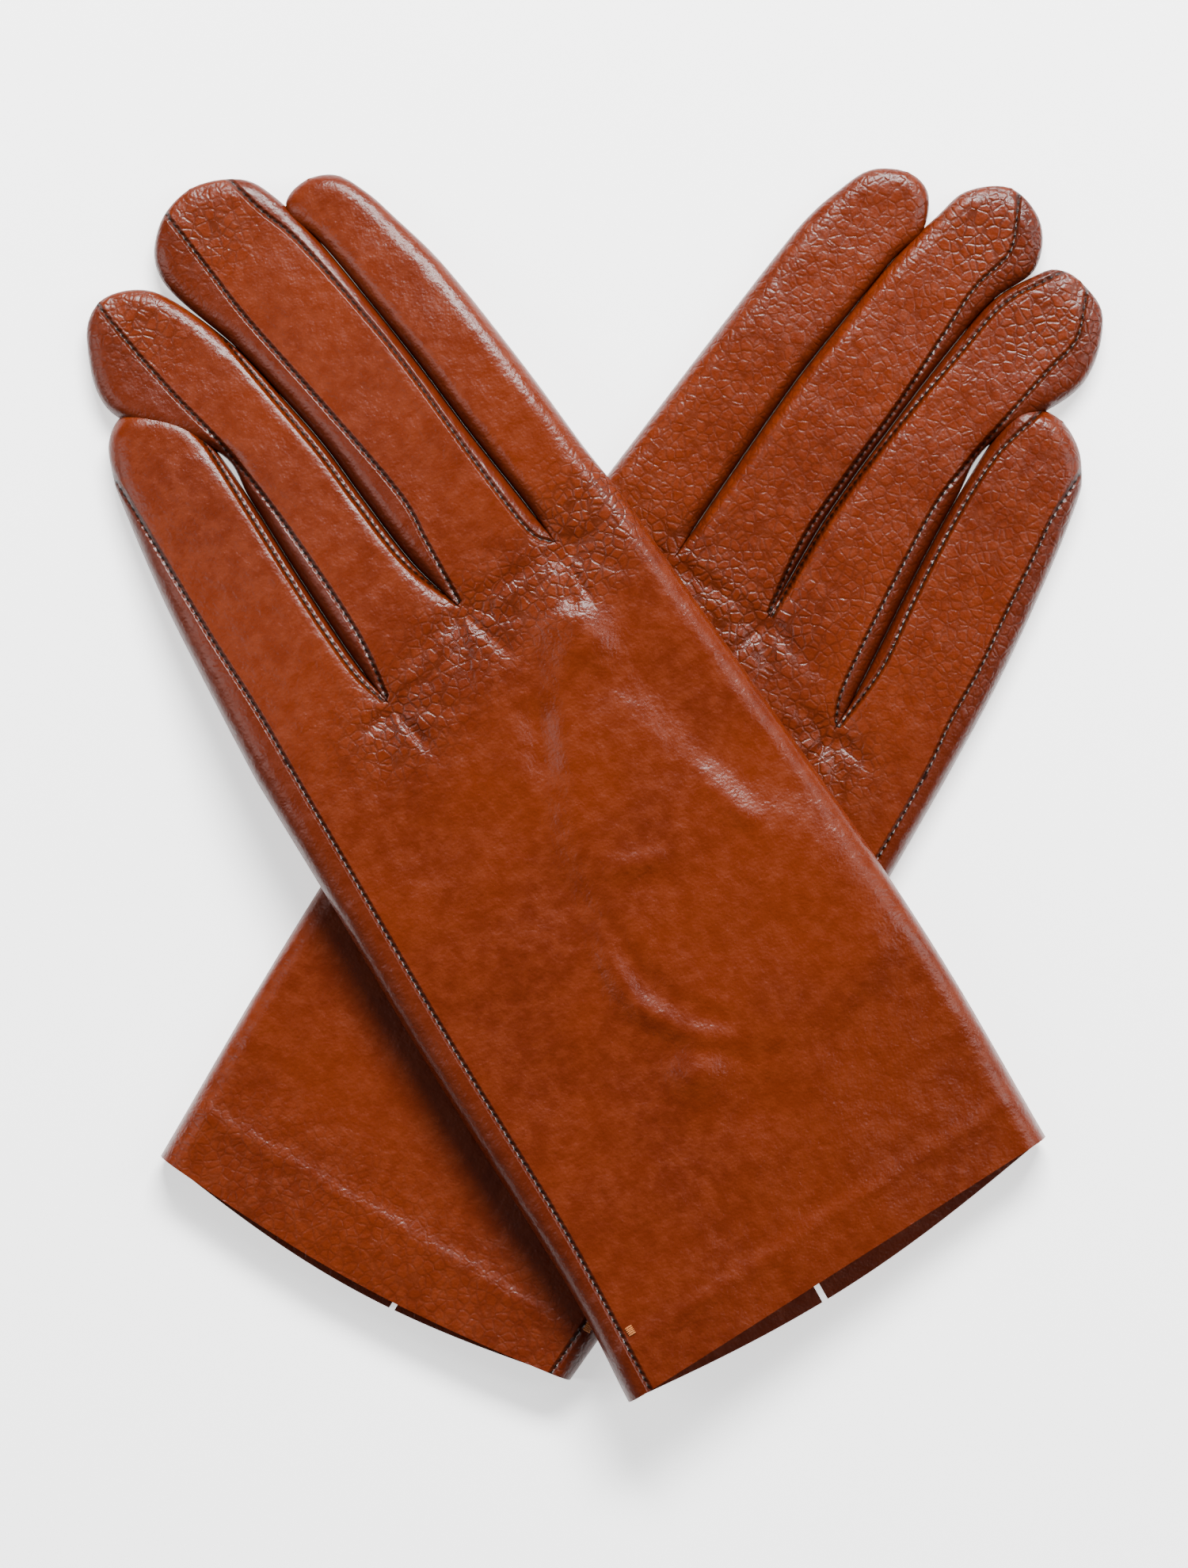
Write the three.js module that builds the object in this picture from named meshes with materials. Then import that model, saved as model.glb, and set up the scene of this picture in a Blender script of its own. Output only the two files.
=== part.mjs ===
// A pair of short, unlined leather dress gloves, laid flat with the backs of the hands up.
// The left glove lies across the right one, and both thumbs are folded under their palms.
//
// Each glove is drawn in its own flat frame: the origin is where the two gloves cross, +X points
// to the index-finger side, +Y to the fingertips and +Z out of the back of the hand. The right
// glove is the mirrored one. Lengths are millimetres.
import * as THREE from 'three';
import { mergeVertices } from 'three/addons/utils/BufferGeometryUtils.js';
import { TessellateModifier } from 'three/addons/modifiers/TessellateModifier.js';

// ---- driving dimensions ----
const leather = 0.7; // thickness of the skin
const gap = 0.3; // clearance between pieces that touch
const roomInside = 6.2; // free height between palm and back
const cuffGape = 2.2; // extra free height at the wrist opening
const thumbRelief = 2.1; // how far the folded thumb lifts the palm above it
const drapeHeight = 10.6; // how high the left glove rides on the right one
const handHalfWidth = 46; // the right glove, where the left one lies across it
const drapeRun = { fingers: 85, cuff: 60 }; // how far the left glove takes to come down again
const hingeFromFork = 28; // the middle finger joint, beyond the bottom of the finger
const hingeGap = 0.25; // half the cut at that joint
const tip = { taper: 14, opening: 0.6, arcSteps: 5, arcShare: 0.94 }; // how a fingertip closes
const cuffY = { back: -85.3, palm: -87.6 };
const vent = { x: -6, width: 1, length: 30 }; // the slit in the palm side of the wrist
const hem = { width: 10, fromSide: 9, behindCuff: 1 }; // turned in at the cuff
// How far the side pieces reach over the back.
const sideInset = { index: 2.5, fork: 2.5, little: 5.8, littleFinger: 4.64 };
const longestEdge = 20; // longest triangle edge on a sheet

const pairs = {
  left: {
    turn: 32.7, mirrored: false, draped: true,
    fingers: {
      index: { base: [35.4, 60], end: [26, 143.5], widths: [14.6, 14.6] },
      middle: { base: [16.9, 60], end: [5, 153.6], widths: [20.2, 21.6] },
      ring: { base: [-4.7, 57], end: [-16.6, 145], widths: [19, 16.4] },
      little: { base: [-29.6, 51], end: [-30.2, 124.5], widths: [26.4, 15.6] },
    },
    forks: [[27.6, 58.7], [5.9, 58.5], [-15.2, 50.4]],
    indexSide: [[46.4, -20], [44.3, 40]],
    littleSide: [[-45, 15], [-46.3, -40]],
    cuffCorners: { index: 46.3, little: -48 },
  },
  right: {
    turn: -31, mirrored: true, draped: false,
    fingers: {
      index: { base: [30.4, 62], end: [22, 146.4], widths: [17.6, 15.4] },
      middle: { base: [10, 62], end: [1.2, 153.6], widths: [19.4, 19.2] },
      ring: { base: [-11.4, 56], end: [-17.8, 145.3], widths: [19, 15.4] },
      little: { base: [-33.8, 49], end: [-31.9, 120.8], widths: [21.6, 15] },
    },
    forks: [[20.5, 60.2], [-0.5, 59], [-22.3, 47.6]],
    indexSide: [[45.8, -20], [43.6, 40]],
    littleSide: [[-46.2, 15], [-45.4, -40]],
    cuffCorners: { index: 46, little: -44.5 },
  },
};
const forkBottom = [[0.5, 0.8], [0, 0], [-0.5, 0.8]]; // the rounded end of a slit between two fingers
const thumb = { root: [21, -34], tip: [20, 47], widths: [30, 16], hole: { at: [24, -12], radii: [8, 13] } };
const tack = { at: [-40.6, -72.8], size: [2.7, 1.6, 0.5] };
const crossing = [1.42, -19.34]; // where the gloves cross, from the middle of the pair

const leatherColour = 0x8f4310;
const innerColour = 0x9a5a2c;
const threadColour = 0xb9742b;

// ---- heights, in the glove's own frame ----
const fade = (value, from, to) => THREE.MathUtils.smoothstep(value, from, to);

// The palm is lifted over the folded thumb and over the sector that it swings through.
function thumbLift(x, y) {
  return thumbRelief * fade(x, -34, -13) * fade(y, -74, -54) * (1 - fade(y, 54, 74));
}

// How far a point of the left glove has been lifted by the right glove under it.
function drapeLift(x, y) {
  const between = THREE.MathUtils.degToRad(pairs.left.turn - pairs.right.turn);
  const across = y * Math.sin(between) - x * Math.cos(between);
  const run = across > 0 ? drapeRun.fingers : drapeRun.cuff;
  return drapeHeight * (1 - fade(Math.abs(across) - handHalfWidth, 0, run));
}

function makeHeights(draped) {
  const table = (x, y) => (draped ? drapeLift(x, y) : 0);
  const palm = (x, y) => table(x, y) + thumbLift(x, y);
  const palmTop = (x, y) => palm(x, y) + leather;
  const back = (x, y) => palmTop(x, y) + roomInside + cuffGape * (1 - fade(y, cuffY.back, -55));
  return { table, palm, palmTop, back };
}

// ---- outlines ----
const point = (x, y) => new THREE.Vector2(x, y);

// A finger as a straight tapered strip with a round end. along is measured from its base, and side
// is +1 for the edge nearer the index finger's side and -1 for the other.
function makeFinger({ base, end, widths }) {
  const start = point(...base);
  const reach = point(...end).sub(start);
  const length = reach.length();
  const forward = reach.normalize();
  const right = point(forward.y, -forward.x);
  const radius = widths[1] / 2;
  const halfWidth = (along) => THREE.MathUtils.lerp(widths[0], widths[1], along / length) / 2;
  const place = (along, aside) => {
    return start.clone().addScaledVector(forward, along).addScaledVector(right, aside);
  };
  const edge = (side, along) => place(along, side * halfWidth(along));
  const endArc = (side) => {
    const points = [];
    for (let i = 0; i <= tip.arcSteps; i += 1) {
      const angle = (Math.PI / 2) * tip.arcShare * (i / tip.arcSteps);
      points.push(place(length - radius + radius * Math.sin(angle), side * radius * Math.cos(angle)));
    }
    return points;
  };
  const alongOf = (x, y) => point(x, y).sub(start).dot(forward);
  return { length, radius, edge, endArc, alongOf };
}

// Moves a path to its left by an inset. The outlines run anticlockwise, so that is inwards.
function moveInwards(path, inset) {
  return path.map((here, i) => {
    const before = path[Math.max(i - 1, 0)];
    const after = path[Math.min(i + 1, path.length - 1)];
    const run = after.clone().sub(before).normalize();
    return point(here.x - run.y * inset, here.y + run.x * inset);
  });
}

// ---- solids ----
// Closes a geometry: only positions, with shared vertices merged.
function closed(geometry) {
  geometry.deleteAttribute('normal');
  geometry.deleteAttribute('uv');
  const merged = mergeVertices(geometry, 1e-4);
  merged.computeVertexNormals();
  return merged;
}

// A sheet with a flat outline, lying between two height functions.
function makeSheet(outline, low, high, holes = []) {
  const shape = new THREE.Shape(outline);
  shape.holes = holes;
  const flat = new THREE.ExtrudeGeometry(shape, { depth: 1, bevelEnabled: false, curveSegments: 6 });
  const fine = closed(new TessellateModifier(longestEdge, 12).modify(flat));
  const at = fine.attributes.position;
  for (let i = 0; i < at.count; i += 1) {
    const [x, y, share] = [at.getX(i), at.getY(i), at.getZ(i)];
    at.setZ(i, THREE.MathUtils.lerp(low(x, y), high(x, y), share));
  }
  fine.computeVertexNormals();
  return fine;
}

// A side piece: it stands on the palm along a path and leans inwards to the back's edge.
function makeSide(path, inset, low, high) {
  const wall = closed(new THREE.BoxGeometry(1, 1, 1, path.length - 1));
  const lean = inset - 3 * gap - leather;
  const lines = [0, lean].map((offset) => [moveInwards(path, offset), moveInwards(path, offset + leather)]);
  const at = wall.attributes.position;
  for (let i = 0; i < at.count; i += 1) {
    const step = Math.round((at.getX(i) + 0.5) * (path.length - 1));
    const face = Math.round(at.getY(i) + 0.5);
    const level = Math.round(at.getZ(i) + 0.5);
    const { x, y } = lines[level][face][step];
    at.setXYZ(i, x, y, level === 0 ? low(x, y) : high(x, y));
  }
  wall.computeVertexNormals();
  return wall;
}

// Adds points to a path so that no step is longer than the sheets' longest edge.
function subdivide(path) {
  return path.flatMap((here, i) => {
    if (i === 0) return [here];
    const before = path[i - 1];
    const steps = Math.ceil(here.distanceTo(before) / longestEdge);
    return Array.from({ length: steps }, (_, k) => before.clone().lerp(here, (k + 1) / steps));
  });
}

// ---- one glove ----
function makeGlove(side) {
  const plan = pairs[side];
  const glove = new THREE.Group();
  const height = makeHeights(plan.draped);
  const order = Object.keys(plan.fingers);
  const fingers = order.map((name) => makeFinger(plan.fingers[name]));

  const add = (name, geometry, colour = leatherColour) => {
    const material = new THREE.MeshStandardMaterial({ color: colour, roughness: 0.45, metalness: 0 });
    const mesh = new THREE.Mesh(geometry, material);
    mesh.name = `${side}_${name}`;
    glove.add(mesh);
  };
  const over = (surface, extra) => (x, y) => surface(x, y) + extra;

  // The hand's outline up to the finger joints, as one path for each side piece.
  const upTo = (finger, edgeSide) => finger.edge(edgeSide, hingeFromFork - hingeGap);
  const index = fingers[0];
  const little = fingers[3];
  const handPaths = {
    index: subdivide([
      point(plan.cuffCorners.index, cuffY.back),
      ...plan.indexSide.map((p) => point(...p)), index.edge(1, 0), upTo(index, 1),
    ]),
    forks: plan.forks.map((fork, i) => {
      const [before, after] = [fingers[i], fingers[i + 1]];
      const bottom = forkBottom.map(([x, y]) => point(fork[0] + x, fork[1] + y));
      return subdivide([upTo(before, -1), before.edge(-1, 3), ...bottom, after.edge(1, 3), upTo(after, 1)]);
    }),
    little: subdivide([
      upTo(little, -1), little.edge(-1, 0),
      ...plan.littleSide.map((p) => point(...p)), point(plan.cuffCorners.little, cuffY.back),
    ]),
  };
  const panelOutline = (insets, cuff) => {
    const outline = [
      ...moveInwards(handPaths.index, insets.index),
      ...handPaths.forks.flatMap((fork) => moveInwards(fork, insets.fork)),
      ...moveInwards(handPaths.little, insets.little),
    ];
    outline[0].y = cuff;
    outline[outline.length - 1].y = cuff;
    return outline;
  };

  const top = over(height.back, leather);
  add('back_panel', makeSheet(panelOutline(sideInset, cuffY.back), height.back, top));

  const none = { index: 0, fork: 0, little: 0 };
  const ventEnd = cuffY.palm + vent.length;
  const [ventLeft, ventRight] = [vent.x - vent.width / 2, vent.x + vent.width / 2];
  const slit = [
    point(ventLeft, cuffY.palm), point(ventLeft, ventEnd),
    point(ventRight, ventEnd), point(ventRight, cuffY.palm),
  ];
  const hole = new THREE.Path().absellipse(...thumb.hole.at, ...thumb.hole.radii, 0, Math.PI * 2);
  const palmOutline = [...panelOutline(none, cuffY.palm), ...slit];
  add('palm_panel', makeSheet(palmOutline, height.palm, height.palmTop, [hole]));

  const foot = over(height.palmTop, 2 * gap);
  const addSide = (name, path, inset) => add(name, makeSide(path, inset, foot, top));
  addSide('hand_fold', handPaths.index, sideInset.index);
  handPaths.forks.forEach((fork, i) => {
    addSide(`fork_${order[i]}_${order[i + 1]}`, fork, sideInset.fork);
  });
  addSide('hand_seam_strip', handPaths.little, sideInset.little);

  // The hems are turned in: one under the back's edge and two on the palm, beside the vent.
  const fromIndex = plan.cuffCorners.index - hem.fromSide;
  const fromLittle = plan.cuffCorners.little + hem.fromSide;
  const strip = (from, to, y) => [
    point(from, y), point(to, y), point(to, y + hem.width), point(from, y + hem.width),
  ];
  const hemOutline = strip(fromLittle, fromIndex, cuffY.back + hem.behindCuff);
  const hemLow = over(height.back, -gap - leather);
  add('back_hem', makeSheet(hemOutline, hemLow, over(height.back, -gap)), innerColour);
  const onPalm = (outline) => makeSheet(outline, foot, over(foot, leather));
  add('palm_hem_index', onPalm(strip(ventRight + gap, fromIndex, cuffY.palm)), innerColour);
  add('palm_hem_little', onPalm(strip(fromLittle, ventLeft - gap, cuffY.palm)), innerColour);

  const bar = new THREE.BoxGeometry(...tack.size);
  const [tackX, tackY] = tack.at;
  bar.translate(tackX, tackY, height.back(tackX, tackY) + leather + gap + tack.size[2] / 2);
  add('bar_tack', closed(bar), threadColour);

  fingers.forEach((finger, i) => addFinger(order[i], finger));

  // The outer part of a finger: back, palm and two sides that close in towards the tip.
  function addFinger(name, finger) {
    const start = hingeFromFork + hingeGap;
    const round = finger.length - finger.radius;
    const up = subdivide([finger.edge(1, start), finger.edge(1, round - 1), ...finger.endArc(1)]);
    const down = subdivide([
      ...finger.endArc(-1).reverse(), finger.edge(-1, round - 1), finger.edge(-1, start),
    ]);
    const insets = [sideInset.fork, name === 'little' ? sideInset.littleFinger : sideInset.fork];
    const back = (x, y) => {
      const left = THREE.MathUtils.clamp((finger.length - finger.alongOf(x, y)) / tip.taper, 0, 1);
      const open = Math.sqrt(1 - (1 - left) ** 2);
      return height.palmTop(x, y) + THREE.MathUtils.lerp(tip.opening, roomInside, open);
    };
    const outline = (a, b) => [...moveInwards(up, a), ...moveInwards(down, b)];
    add(`${name}_finger_back`, makeSheet(outline(...insets), back, over(back, leather)));
    add(`${name}_finger_palm`, makeSheet(outline(0, 0), height.palm, height.palmTop));
    const sideTop = over(back, leather);
    const outer = name === 'index' ? 'fold' : 'index_side';
    add(`${name}_finger_${outer}`, makeSide(up, insets[0], foot, sideTop));
    const inner = name === 'little' ? 'seam_strip' : 'little_side';
    add(`${name}_finger_${inner}`, makeSide(down, insets[1], foot, sideTop));
  }

  // The folded thumb: two skins, pressed flat between the palm and what the glove lies on.
  const flatThumb = makeFinger({ base: thumb.root, end: thumb.tip, widths: thumb.widths });
  const round = flatThumb.length - flatThumb.radius;
  const thumbUp = [flatThumb.edge(1, 0), flatThumb.edge(1, round - 1), ...flatThumb.endArc(1)];
  const thumbDown = [
    ...flatThumb.endArc(-1).reverse(), flatThumb.edge(-1, round - 1), flatThumb.edge(-1, 0),
  ];
  const thumbOutline = [...thumbUp, ...thumbDown];
  const thumbTop = over(height.table, leather);
  add('thumb_outside', makeSheet(thumbOutline, height.table, thumbTop));
  add('thumb_inside', makeSheet(thumbOutline, over(thumbTop, gap), over(thumbTop, gap + leather)));

  glove.scale.x = plan.mirrored ? -1 : 1;
  glove.rotation.z = THREE.MathUtils.degToRad(plan.turn);
  glove.position.set(...crossing, 0);
  return glove;
}

const gloves = new THREE.Group();
gloves.add(makeGlove('left'), makeGlove('right'));
export default gloves;
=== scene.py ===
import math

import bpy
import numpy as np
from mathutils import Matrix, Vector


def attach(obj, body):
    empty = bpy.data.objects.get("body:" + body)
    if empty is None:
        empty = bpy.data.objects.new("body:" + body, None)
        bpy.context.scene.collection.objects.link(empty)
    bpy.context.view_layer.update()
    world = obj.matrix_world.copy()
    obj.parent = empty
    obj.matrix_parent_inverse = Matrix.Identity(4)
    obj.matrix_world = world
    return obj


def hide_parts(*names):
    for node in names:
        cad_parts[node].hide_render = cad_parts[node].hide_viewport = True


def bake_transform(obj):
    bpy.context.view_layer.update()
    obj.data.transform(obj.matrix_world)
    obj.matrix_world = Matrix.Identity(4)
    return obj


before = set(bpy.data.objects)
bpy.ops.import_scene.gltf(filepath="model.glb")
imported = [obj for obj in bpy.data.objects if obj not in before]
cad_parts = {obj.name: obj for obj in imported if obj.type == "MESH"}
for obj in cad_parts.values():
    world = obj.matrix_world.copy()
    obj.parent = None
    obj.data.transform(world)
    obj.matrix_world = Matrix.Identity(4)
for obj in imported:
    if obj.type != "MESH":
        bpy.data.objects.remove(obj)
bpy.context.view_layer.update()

# A pair of unlined leather dress gloves, laid crossed on a pale floor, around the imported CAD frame.
#
# Each glove is made in its own flat frame in millimetres, as in the CAD: the origin is where the gloves
# cross, +X is the index finger's side, +Y the fingertips and +Z out of the back of the hand.

# ---- the sizes that the CAD frame has too ----
MM = 0.001
CROSSING = np.array([1.42, -19.34])
LEATHER = 0.7
THUMB_RELIEF = 2.1
DRAPE_HEIGHT = 10.6
HAND_HALF_WIDTH = 46.0
DRAPE_RUN = {"fingers": 85.0, "cuff": 60.0}
CUFF_Y = -85.3
FINGERS = ("index", "middle", "ring", "little")

# ---- the sizes of the visible leather ----
BODY_HEIGHT = 7.4  # from the palm's underside to the top of the back
HINGE_HEIGHT = 8.0
TIP_SLIMMER = 2.0  # how much less that is at the fingertips
EDGE_HEIGHT = 2.6  # where back and palm meet at a fold
FOLD = 0.3  # half the height of the fold itself
ROLL = {"outer": 4.4, "slit": 3.2, "tip": 3.6}  # how wide each kind of edge is rounded on the back
PALM_ROLL = 2.4
SLIT_HALF_GAP = 0.01
FORK_CLOSE = 9.0  # how far beyond a fork its edges have come down
CUT_ALONG = 15.0  # where the finger's own piece takes over from the hand, before the joint
BEND_LENGTH = 30.0
ROW_LENGTH = 1.25
SEAM_REACH = 4.0
TIP_ROWS = 5
TIP_DROPPED = 2  # the very last rows would meet in a point
TIP_THINNING = 2.5  # the inside of a fingertip is too narrow for the whole thickness
FINGER_COLUMNS = 20
HEM = {"width": 10.0, "inset": 0.05, "thickness": 0.49}
VENT = {"x": -6.0, "length": 30.0}

FINGER_AXES = {
    "left": {
        "index": ((35.4, 60), (26, 143.5)), "middle": ((16.9, 60), (5, 153.6)),
        "ring": ((-4.7, 57), (-16.6, 145)), "little": ((-29.6, 51), (-30.2, 124.5)),
    },
    "right": {
        "index": ((30.4, 62), (22, 146.4)), "middle": ((10, 62), (1.2, 153.6)),
        "ring": ((-11.4, 56), (-17.8, 145.3)), "little": ((-33.8, 49), (-31.9, 120.8)),
    },
}
HAND_NODES = ("back_panel", "palm_panel", "hand_fold", "hand_seam_strip")
FORK_NODES = ("fork_index_middle", "fork_middle_ring", "fork_ring_little")
FINGER_NODES = {
    "index": ("back", "palm", "fold", "little_side"),
    "middle": ("back", "palm", "index_side", "little_side"),
    "ring": ("back", "palm", "index_side", "little_side"),
    "little": ("back", "palm", "index_side", "seam_strip"),
}
HINGE_ALONG = 28.0
TACK = {
    "at": (-40.6, -72.8), "threads": 5, "pitch": 0.36, "reach": 0.8, "radius": 0.2,
    "rings": 7, "sides": 8,
}
STITCH = {"pitch": 1.55, "length": 1.25, "width": 0.24}
# strip is painted shade: it darkens the fourchettes, which turn down beside the seams. deep is the darkest
# colour, used for the crazed lines and as painted shade in the seam grooves.
COLOURS = {
    "body": (78, 23, 0), "light": (87, 29, 0), "dark": (69, 18, 0), "strip": (58, 13, 0),
    "deep": (26, 5, 0), "stitch": (20, 6, 2), "thread_dark": (120, 62, 16), "thread_light": (158, 90, 30),
}
CAMERA_HEIGHT = 1.5
VIEW_LENGTH = 0.29685
FLOOR_HALF = 12.0
# The thumb's folds and hollows in the back above it: a line or centre, how wide, how high.
THUMB_FOLDS = [
    ([(26.7, 12), (29, 1), (31, -8)], 1.8, 0.7),
    ([(1, 3), (8, 0.5), (15, -2)], 2.2, 0.6),
    ([(-3.8, -3), (-6.1, -12), (-6.4, -21), (-2.5, -29), (2.6, -35), (12.3, -42)], 2.4, 1.0),
    ([(9.2, 38), (5, 29), (2, 20)], 3.2, -0.8),
    ([(15, 44), (20, 47.5), (26, 44)], 1.8, 0.6),
]
THUMB_BUMPS = [
    ((22, 42), (5, 5), 0.7), ((21, 33), (4, 4), -0.4),
    ((-3.6, -38.7), (5, 4), 1.2), ((2, -50), (7, 5), -0.6),
]

# Outlines run from the wrist to the fingertips. A tip goes from its index side round to the other.
PLANS = {
    "left": {
        "turn": 32.7, "mirror": 1, "draped": True, "bulge": (0.0, 4.0),
        "index_side": [(45.2, -85.3), (46.6, -50), (46.4, -20), (45.2, 10), (43.9, 40), (43.2, 60)],
        "index_outer": [(43.2, 60), (42.0, 72), (40.7, 92), (38.4, 115), (35.4, 128.5)],
        "little_side": [(-48.3, -84.3), (-46.2, -60), (-45.9, -10), (-44.9, 20), (-44.2, 52)],
        "little_outer": [(-44.2, 52), (-43.0, 67), (-40.8, 90), (-37.6, 110)],
        "slits": [
            [(27.7, 58.7), (26.8, 70), (25.3, 86), (24.2, 102), (22.9, 116), (21.0, 132)],
            [(5.9, 58.6), (2.9, 71), (1.6, 86), (0.9, 98), (-0.6, 109), (-3.3, 124)],
            [(-15.2, 50.6), (-16.3, 62), (-16.6, 80), (-16.5, 98), (-16.9, 109)],
        ],
        "tips": {
            "index": [(33.6, 135), (30.6, 141), (25.6, 143.4), (20.4, 142.6), (18.6, 139)],
            "middle": [(18.4, 144), (14.6, 150.5), (5.6, 154), (-3.4, 151), (-8.2, 142)],
            "ring": [(-8.4, 137.6), (-13.2, 143.4), (-20.6, 145.2), (-26.6, 140), (-29.8, 126)],
            "little": [(-18.2, 117), (-22.6, 122.3), (-28.2, 124.7), (-33.2, 122), (-36.1, 116)],
        },
        "seams": {
            "middle": [
                [
                    (27.2, 60), (24.6, 64), (23.2, 79), (22.0, 101),
                    (20.7, 114), (17.6, 134), (14.8, 143), (13.4, 149),
                ],
                [(6.4, 61), (7.2, 73), (7.8, 83), (4.8, 105), (1.4, 127), (0.5, 137), (-0.6, 150)],
            ],
            "ring": [
                [(5.4, 61), (1.6, 72), (0.1, 87), (-0.7, 98), (-2.2, 110)],
                [
                    (-14.9, 52), (-13.0, 66), (-13.5, 90), (-15.4, 109),
                    (-17.9, 122), (-19.7, 133), (-20.6, 141),
                ],
            ],
            "little": [
                [(-15.8, 52), (-17.6, 60), (-18.2, 76), (-18.0, 98), (-17.9, 110), (-18.6, 115)],
                [
                    (-36.0, 117), (-36.1, 109), (-36.4, 97), (-36.8, 80),
                    (-36.8, 63), (-37.5, 48), (-38.3, 29),
                ],
            ],
            "hand": [[
                (-36.8, 80), (-36.8, 63), (-37.5, 48), (-38.3, 29), (-39.6, 0),
                (-40.2, -21), (-40.7, -47), (-41.6, -62), (-42.6, -74),
            ]],
        },
    },
    "right": {
        "turn": -31.0, "mirror": -1, "draped": False, "bulge": (3.0, 4.8),
        "index_side": [(45.7, -87.0), (46.2, -50), (45.8, -20), (44.6, 15), (42.8, 40), (40.2, 62)],
        "index_outer": [(40.2, 62), (38.4, 78), (36.2, 98), (33.6, 120), (32.2, 129)],
        "little_side": [(-42.9, -83.4), (-44.4, -60), (-45.4, -20), (-45.8, 20), (-45.4, 49)],
        "little_outer": [(-45.4, 49), (-44.7, 67), (-43.6, 81), (-41.5, 98), (-39.4, 110)],
        "slits": [
            [(20.5, 60.2), (19.8, 75), (18.2, 100), (16.2, 116), (14.0, 131)],
            [(-0.5, 59.4), (-0.2, 82), (-2.0, 104), (-4.2, 123), (-6.2, 134)],
            [(-22.3, 47.8), (-22.2, 58), (-20.2, 84), (-19.6, 98), (-19.7, 110)],
        ],
        "tips": {
            "index": [(30.0, 136), (26.6, 143), (20.2, 146.3), (14.8, 144.8), (12.0, 138)],
            "middle": [(11.2, 142), (8.8, 149), (1.8, 153.8), (-6.4, 151), (-10.0, 143)],
            "ring": [(-10.4, 141.6), (-13.4, 145), (-18.6, 145.4), (-26.0, 141.4), (-28.8, 128)],
            "little": [(-20.4, 118), (-24, 120.6), (-29.4, 120.8), (-34.6, 118), (-38, 113.6)],
        },
        "seams": {
            "middle": [[
                (-0.2, 61), (1.4, 76), (0.6, 90), (-0.9, 107),
                (-1.5, 123), (-2.0, 134), (-4.2, 143), (-1.2, 151),
            ]],
            "ring": [
                [(-1.0, 62), (-0.9, 83), (-3.1, 104), (-6.0, 122), (-8.2, 134), (-12.8, 142)],
                [
                    (-22.0, 49), (-19.3, 58), (-16.8, 91), (-17.8, 104),
                    (-19.7, 115), (-21.9, 127), (-23.6, 135), (-21.4, 142),
                ],
            ],
            "little": [
                [(-22.8, 50), (-24.0, 63), (-22.7, 76), (-21.5, 94), (-21.8, 108), (-24.0, 117)],
                [
                    (-37.2, 113), (-37.0, 104), (-37.9, 95), (-38.8, 84),
                    (-40.0, 72), (-40.3, 61), (-41.4, 50), (-41.8, 30),
                ],
            ],
            "hand": [[
                (-40.0, 72), (-40.3, 61), (-41.4, 50), (-41.8, 30),
                (-41.4, 0), (-41.0, -30), (-40.2, -60), (-39.2, -80),
            ]],
        },
    },
}

# The folded thumb, as it shows through the back of the hand.
THUMB_PRINT = [
    (26, 47), (18, 45), (12, 38), (5, 27), (-3, 8), (-3, -6), (-1, -21), (4, -33), (13, -42),
    (28, -45), (41, -38), (42, -12), (32, 0), (28, 14), (25, 30), (28, 41),
]
THUMB = {
    "root": (21, -34), "tip": (20, 47), "widths": (30, 16), "thickness": 1.7,
    "root_round": 6, "tip_round": 9, "roundness": 0.6, "rings": 60, "sides": 32,
}


# ---- heights, in a glove's flat frame ----
def fade(value, start, end):
    t = np.clip((value - start) / (end - start), 0, 1)
    return t * t * (3 - 2 * t)


def thumb_lift(x, y):
    """How far the palm is lifted over the folded thumb and the sector that it swings through."""
    return THUMB_RELIEF * fade(x, -34, -13) * fade(y, -74, -54) * (1 - fade(y, 54, 74))


def drape_lift(x, y):
    """How far the left glove is lifted by the right one under it."""
    between = math.radians(PLANS["left"]["turn"] - PLANS["right"]["turn"])
    across = y * math.sin(between) - x * math.cos(between)
    run = np.where(across > 0, DRAPE_RUN["fingers"], DRAPE_RUN["cuff"])
    beyond = np.clip((np.abs(across) - HAND_HALF_WIDTH) / run, 0, 1)
    return DRAPE_HEIGHT * (1 - beyond * beyond * (3 - 2 * beyond))


# ---- curves ----
def curve(points, steps=12):
    """A fine polyline along the Catmull-Rom curve through the given points."""
    p = np.array(points, float)
    p = np.vstack([2 * p[0] - p[1], p, 2 * p[-1] - p[-2]])
    t = np.arange(steps)[:, None] / steps
    fine = []
    for a, b, c, d in zip(p, p[1:], p[2:], p[3:]):
        linear_term = (c - a) * t
        square_term = (2 * a - 5 * b + 4 * c - d) * t**2
        cube_term = (3 * b - a - 3 * c + d) * t**3
        fine.append(0.5 * (2 * b + linear_term + square_term + cube_term))
    return np.vstack([*fine, p[-2][None]])


def evenly(line, count):
    """count points, evenly spaced along a polyline."""
    run = np.concatenate([[0], np.cumsum(np.linalg.norm(np.diff(line, axis=0), axis=1))])
    at = np.linspace(0, run[-1], count)
    return np.column_stack([np.interp(at, run, line[:, i]) for i in (0, 1)])


def smooth(points, count):
    return evenly(curve(points), count)


def distance_to(line, points, endless=False):
    """Distance from each point to a polyline, how far along it (0 to 1) and on which side (+1 is its left).

    An endless line goes straight on at both ends.
    """
    best = np.full(len(points), 1e9)
    along = np.zeros(len(points))
    side = np.ones(len(points))
    count = len(line) - 1
    for i, (a, b) in enumerate(zip(line, line[1:])):
        run = b - a
        least = -np.inf if endless and i == 0 else 0
        most = np.inf if endless and i == count - 1 else 1
        t = np.clip((points - a) @ run / (run @ run), least, most)
        off = points - (a + t[:, None] * run)
        d = np.hypot(off[:, 0], off[:, 1])
        near = d < best
        best[near] = d[near]
        along[near] = (i + t[near]) / count
        side[near] = np.sign(run[0] * off[near, 1] - run[1] * off[near, 0])
    return best, along, side


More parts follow.
